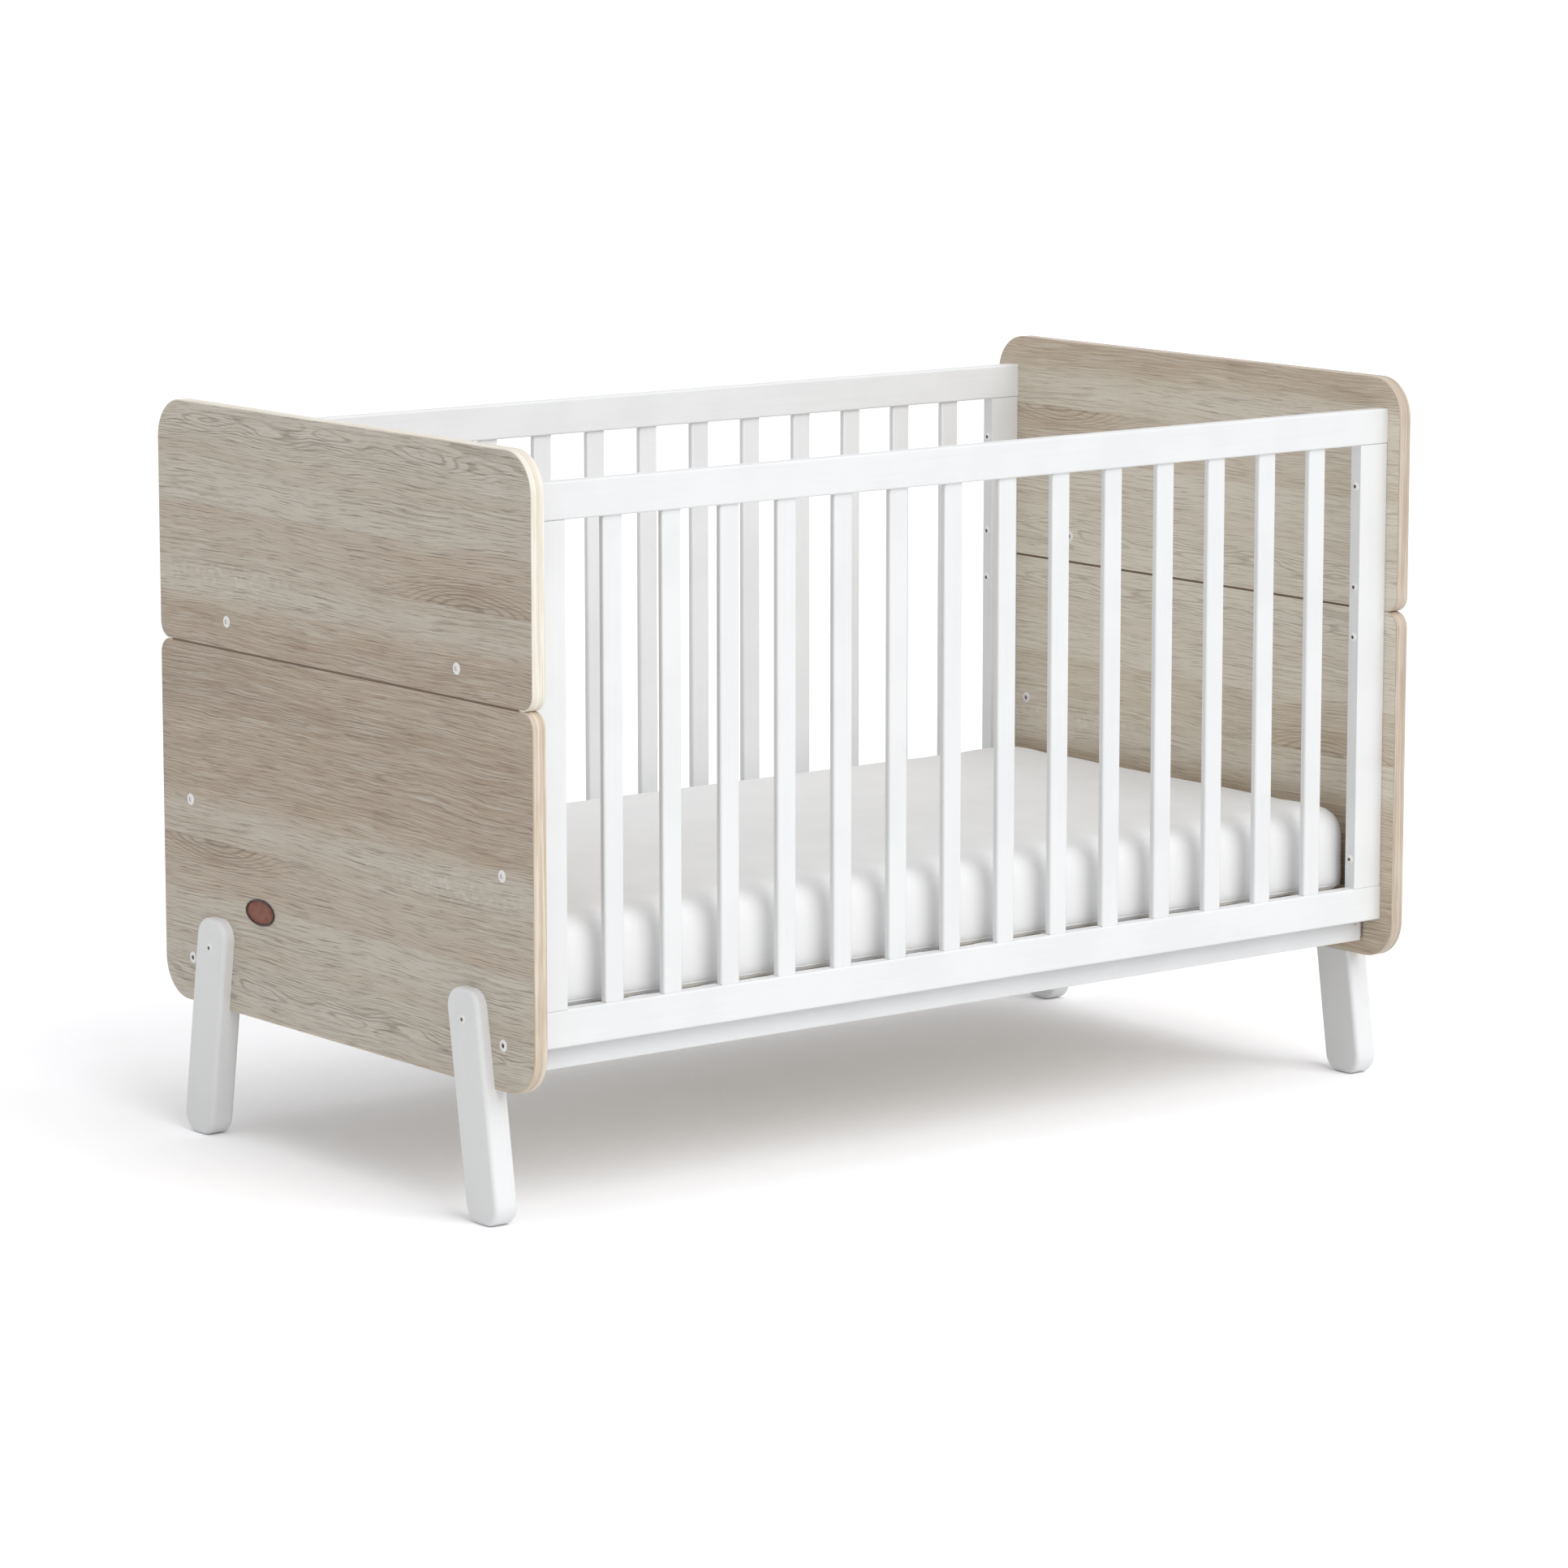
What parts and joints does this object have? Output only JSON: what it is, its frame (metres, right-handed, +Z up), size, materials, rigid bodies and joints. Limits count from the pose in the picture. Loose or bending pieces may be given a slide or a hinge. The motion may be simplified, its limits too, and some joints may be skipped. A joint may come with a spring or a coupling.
{
  "type": "baby crib",
  "caption": "Baby crib with slatted sides, oak-look panel ends in two tiers, splayed lapped legs, a slatted base that hooks on at two heights and a loose mattress.",
  "frame": {"origin": "on the floor, under the middle of the crib", "axes": "+X along the length from the left end, which has the badge, to the right end; +Y from the front to the rear; +Z up"},
  "size_m": [1.3996, 0.792, 0.91],
  "materials": {
    "oak_laminate": "satin",
    "edge_band": "satin",
    "white_wood": "satin",
    "base_slat_wood": "matte",
    "dowel_wood": "matte",
    "white_fittings": "satin",
    "steel": "satin",
    "badge_leather": "matte",
    "badge_rim": "satin",
    "mattress_fabric": "matte",
    "mattress_foam": "matte"
  },
  "bodies": {
    "crib_frame": {"badge_plate": "badge_leather", "badge_rim": "badge_rim", "base_support_studs": "white_fittings", "frame_dowels": "dowel_wood", "front_bottom_rail": "white_wood", "front_left_leg": "white_wood", "front_left_stile": "white_wood", "front_right_leg": "white_wood", "front_right_stile": "white_wood", "front_slats": "white_wood", "front_top_rail": "white_wood", "left_lower_edge_band": "edge_band", "left_lower_panel": "oak_laminate", "left_upper_edge_band": "edge_band", "left_upper_panel": "oak_laminate", "leg_bolts": "white_fittings", "leg_inserts": "steel", "panel_cap_screws": "white_fittings", "panel_sleeve_nuts": "white_fittings", "rear_bottom_rail": "white_wood", "rear_left_leg": "white_wood", "rear_left_stile": "white_wood", "rear_right_leg": "white_wood", "rear_right_stile": "white_wood", "rear_slats": "white_wood", "rear_top_rail": "white_wood", "right_lower_edge_band": "edge_band", "right_lower_panel": "oak_laminate", "right_upper_edge_band": "edge_band", "right_upper_panel": "oak_laminate", "seam_dowels": "dowel_wood", "seam_pins": "steel", "stile_bolts": "white_fittings", "stile_inserts": "steel"},
    "mattress_base": {"base_corner_screws": "steel", "base_front_rail": "white_wood", "base_hook_plates": "steel", "base_hook_screws": "steel", "base_left_cross_rail": "white_wood", "base_rear_rail": "white_wood", "base_right_cross_rail": "white_wood", "base_slat_screws": "steel", "base_slats": "base_slat_wood"},
    "mattress": {"mattress_core": "mattress_foam", "mattress_cover": "mattress_fabric"}
  },
  "joints": [
    {"name": "base_height", "type": "slide", "parent": "crib_frame", "child": "mattress_base", "axis": [0, 0, 1], "range_m": [0, 0.199]},
    {"name": "mattress_lift", "type": "slide", "parent": "mattress_base", "child": "mattress", "axis": [0, 0, 1], "range_m": [0, 0.67]}
  ]
}
